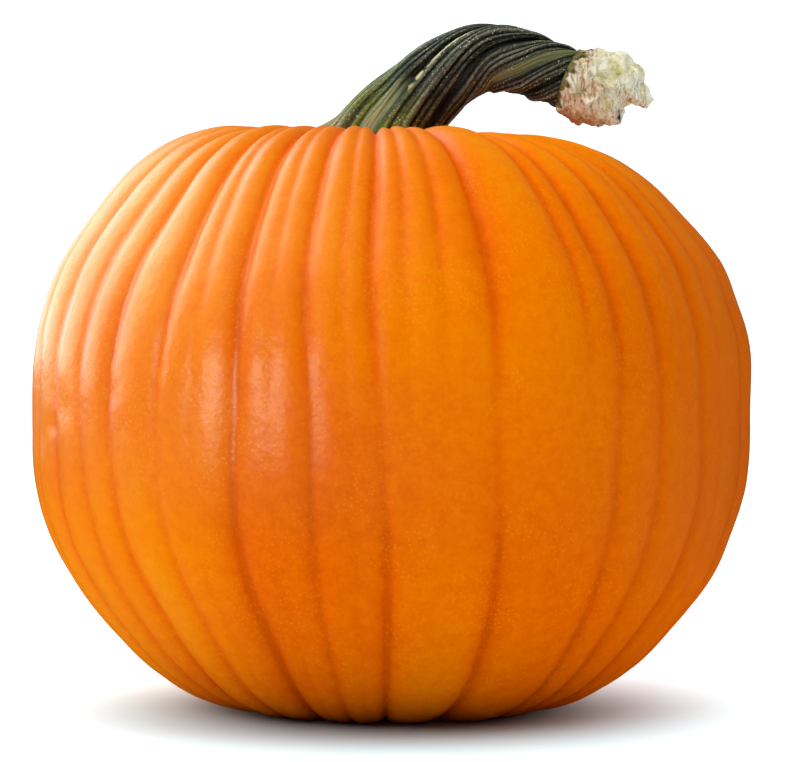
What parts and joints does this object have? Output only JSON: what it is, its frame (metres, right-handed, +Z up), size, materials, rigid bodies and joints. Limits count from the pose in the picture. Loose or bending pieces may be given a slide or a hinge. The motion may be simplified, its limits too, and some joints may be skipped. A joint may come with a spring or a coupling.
{
  "type": "pumpkin",
  "caption": "Ripe ribbed orange pumpkin with a bent, twisted green stem and its pale torn end, resting upright on its blossom end.",
  "frame": {"origin": "on the floor, under the middle of the whole part's box", "axes": "+Z up, -Y towards the front, +X to the side that the stem bends over to"},
  "size_m": [0.2999, 0.2914, 0.2829],
  "materials": {
    "skin": "waxy orange skin, satin to semi-gloss, finely mottled",
    "stem": "dark green, ridged, half matte, with pale streaks and specks",
    "torn_stem": "pale, corky and fibrous, dry"
  },
  "bodies": {
    "root": {"fruit": "skin", "stem": "stem", "stem_torn_end": "torn_stem"}
  },
  "joints": []
}
